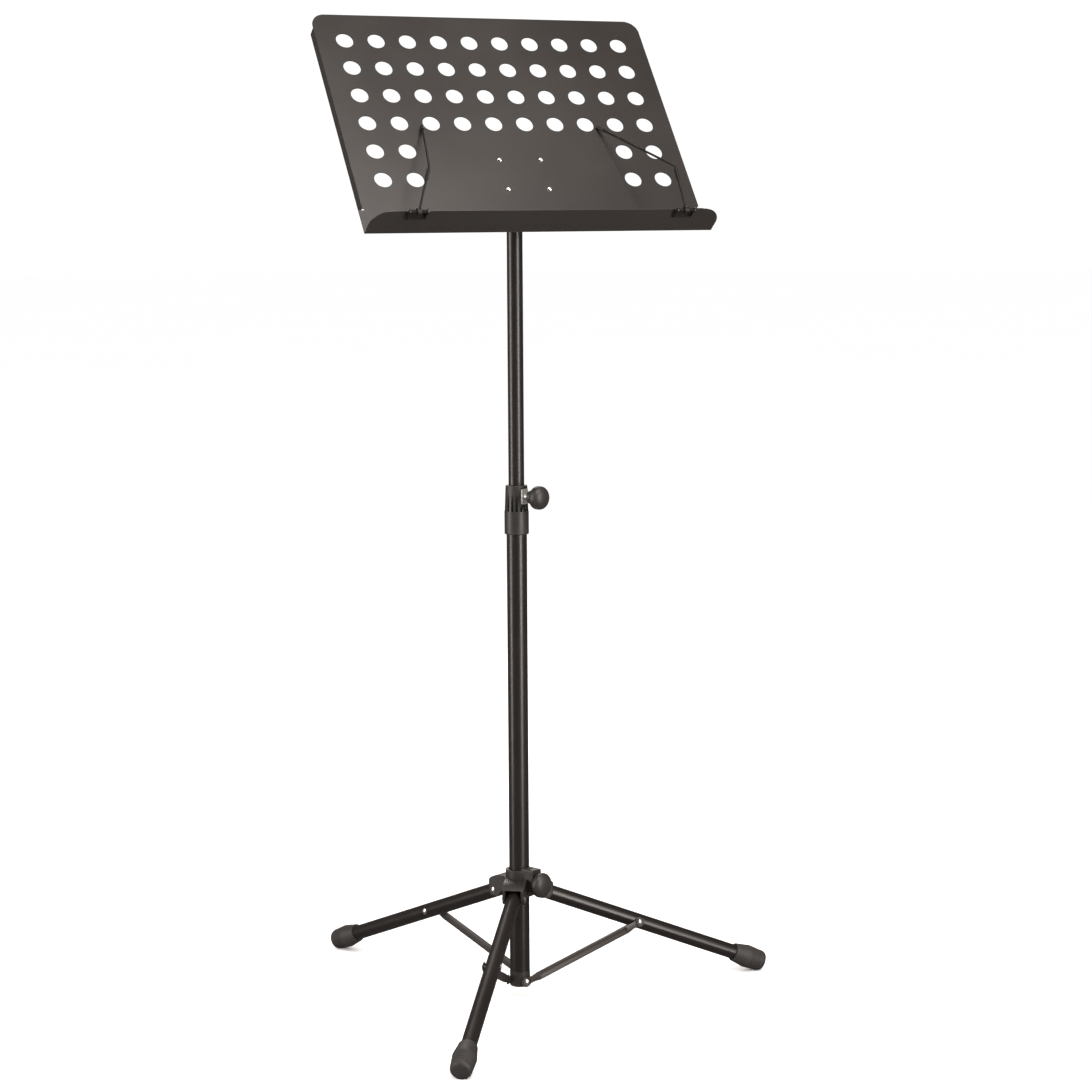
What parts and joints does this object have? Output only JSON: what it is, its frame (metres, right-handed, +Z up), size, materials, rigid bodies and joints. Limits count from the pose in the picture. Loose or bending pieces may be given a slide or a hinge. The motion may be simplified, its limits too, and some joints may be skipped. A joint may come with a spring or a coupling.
{
  "type": "music stand",
  "caption": "Orchestra music stand: a perforated tilting steel desk with two spring page holders on a telescopic, clamped post with a folding three-legged base.",
  "frame": {"origin": "floor point under the post's axis", "axes": "+Z up along the post; the desk faces -Y and its width runs along X"},
  "size_m": [0.6245, 0.6549, 1.3662],
  "materials": {
    "black_coat": "satin powder coat",
    "dark_sheet": "satin powder coat",
    "steel": "satin zinc plate",
    "spring_steel": "blackened",
    "black_plastic": "matte moulded",
    "rubber": "matte",
    "nylon": "matte"
  },
  "bodies": {
    "post": {"lower_tube": "black_coat", "base_cup": "black_plastic", "base_rivets": "steel", "height_clamp_collar": "black_plastic", "height_nut_plate": "steel", "height_clamp_pad": "nylon"},
    "height_knob": {"height_screw": "steel", "height_knob": "black_plastic"},
    "guide": {"upper_tube_bush": "black_plastic"},
    "upper": {"upper_tube": "black_coat", "tilt_head": "black_coat", "tilt_head_pin": "steel", "tilt_washers": "nylon"},
    "desk": {"desk_panel": "dark_sheet", "desk_bracket": "black_coat", "desk_screws": "steel", "desk_nuts": "steel", "tilt_bolt": "steel", "left_holder_saddle": "black_coat", "left_holder_pin": "spring_steel", "left_holder_spring": "spring_steel", "right_holder_saddle": "black_coat", "right_holder_pin": "spring_steel", "right_holder_spring": "spring_steel"},
    "tilt_knob": {"tilt_knob": "black_plastic"},
    "left_holder": {"left_holder_lower_wire": "spring_steel", "left_holder_knuckle": "spring_steel"},
    "left_holder_tip": {"left_holder_upper_wire": "spring_steel", "left_holder_tip": "black_plastic"},
    "right_holder": {"right_holder_lower_wire": "spring_steel", "right_holder_knuckle": "spring_steel"},
    "right_holder_tip": {"right_holder_upper_wire": "spring_steel", "right_holder_tip": "black_plastic"},
    "hub": {"hub_body": "black_plastic", "hub_nut_plate": "steel", "hub_rivets": "steel"},
    "hub_knob": {"hub_screw": "steel", "hub_knob": "black_plastic"},
    "front_strut": {"front_strut": "black_coat"},
    "front_leg": {"front_leg_tube": "black_coat", "front_leg_foot": "rubber", "front_strut_rivet": "steel"},
    "right_strut": {"right_strut": "black_coat"},
    "right_leg": {"right_leg_tube": "black_coat", "right_leg_foot": "rubber", "right_strut_rivet": "steel"},
    "left_strut": {"left_strut": "black_coat"},
    "left_leg": {"left_leg_tube": "black_coat", "left_leg_foot": "rubber", "left_strut_rivet": "steel"}
  },
  "joints": [
    {"name": "front_strut_fold", "type": "hinge", "parent": "post", "child": "front_strut", "pos_m": [-0.00228, -0.00329, 0.022], "axis": [-0.8221, 0.5693, 0], "range_deg": [0, 51.8]},
    {"name": "front_leg_fold", "type": "hinge", "parent": "front_strut", "child": "front_leg", "pos_m": [-0.10019, -0.1447, 0.09108], "axis": [-0.8221, 0.5693, 0], "range_deg": [-111.78, 0]},
    {"name": "right_strut_fold", "type": "hinge", "parent": "post", "child": "right_strut", "pos_m": [0.00399, -0.00033, 0.022], "axis": [-0.0819, -0.9966, 0], "range_deg": [0, 51.8]},
    {"name": "right_leg_fold", "type": "hinge", "parent": "right_strut", "child": "right_leg", "pos_m": [0.17541, -0.01442, 0.09108], "axis": [-0.0819, -0.9966, 0], "range_deg": [-111.78, 0]},
    {"name": "left_strut_fold", "type": "hinge", "parent": "post", "child": "left_strut", "pos_m": [-0.00171, 0.00362, 0.022], "axis": [0.9041, 0.4274, 0], "range_deg": [0, 51.8]},
    {"name": "left_leg_fold", "type": "hinge", "parent": "left_strut", "child": "left_leg", "pos_m": [-0.07522, 0.15912, 0.09108], "axis": [0.9041, 0.4274, 0], "range_deg": [-111.78, 0]},
    {"name": "hub_lift", "type": "hinge", "parent": "front_leg", "child": "hub", "pos_m": [-0.02049, -0.0296, 0.1485], "axis": [-0.8221, 0.5693, 0], "range_deg": [0, 59.98]},
    {"name": "hub_knob_turn", "type": "hinge", "parent": "hub", "child": "hub_knob", "pos_m": [0.0175, -0.03752, 0.1655], "axis": [0.4226, -0.9063, 0], "range_deg": [0, 360]},
    {"name": "height_knob_turn", "type": "hinge", "parent": "post", "child": "height_knob", "pos_m": [0.01699, -0.03643, 0.71], "axis": [0.4226, -0.9063, 0], "range_deg": [0, 360]},
    {"name": "height_slide", "type": "slide", "parent": "post", "child": "guide", "axis": [0, 0, 1], "range_m": [-0.28, 0.08]},
    {"name": "post_swivel", "type": "hinge", "parent": "guide", "child": "upper", "pos_m": [0, 0, 0.6], "axis": [0, 0, 1], "continuous": true},
    {"name": "desk_tilt", "type": "hinge", "parent": "upper", "child": "desk", "pos_m": [0, 0, 1.12], "axis": [-1, 0, 0], "range_deg": [-34, 50]},
    {"name": "tilt_knob_turn", "type": "hinge", "parent": "desk", "child": "tilt_knob", "pos_m": [0.03, 0, 1.12], "axis": [1, 0, 0], "range_deg": [0, 360]},
    {"name": "left_holder_open", "type": "hinge", "parent": "desk", "child": "left_holder", "pos_m": [-0.191, -0.13974, 1.10007], "axis": [1, 0, 0], "range_deg": [0, 75], "stiffness_Nm_per_rad": 0.08, "springref_deg": -68.75},
    {"name": "left_holder_swing", "type": "hinge", "parent": "left_holder", "child": "left_holder_tip", "pos_m": [-0.1764, -0.13749, 1.15502], "axis": [0.2566, 0.0396, 0.9657], "range_deg": [0, 90]},
    {"name": "right_holder_open", "type": "hinge", "parent": "desk", "child": "right_holder", "pos_m": [0.191, -0.13974, 1.10007], "axis": [1, 0, 0], "range_deg": [0, 75], "stiffness_Nm_per_rad": 0.08, "springref_deg": -68.75},
    {"name": "right_holder_swing", "type": "hinge", "parent": "right_holder", "child": "right_holder_tip", "pos_m": [0.1764, -0.13749, 1.15502], "axis": [0.2566, -0.0396, -0.9657], "range_deg": [0, 90]}
  ],
  "couplings": [
    {"joint": "front_leg_fold", "follows": "front_strut_fold", "ratio": -2.158},
    {"joint": "right_strut_fold", "follows": "front_strut_fold", "ratio": 1},
    {"joint": "right_leg_fold", "follows": "front_strut_fold", "ratio": -2.158},
    {"joint": "left_strut_fold", "follows": "front_strut_fold", "ratio": 1},
    {"joint": "left_leg_fold", "follows": "front_strut_fold", "ratio": -2.158},
    {"joint": "hub_lift", "follows": "front_strut_fold", "ratio": 1.158}
  ]
}
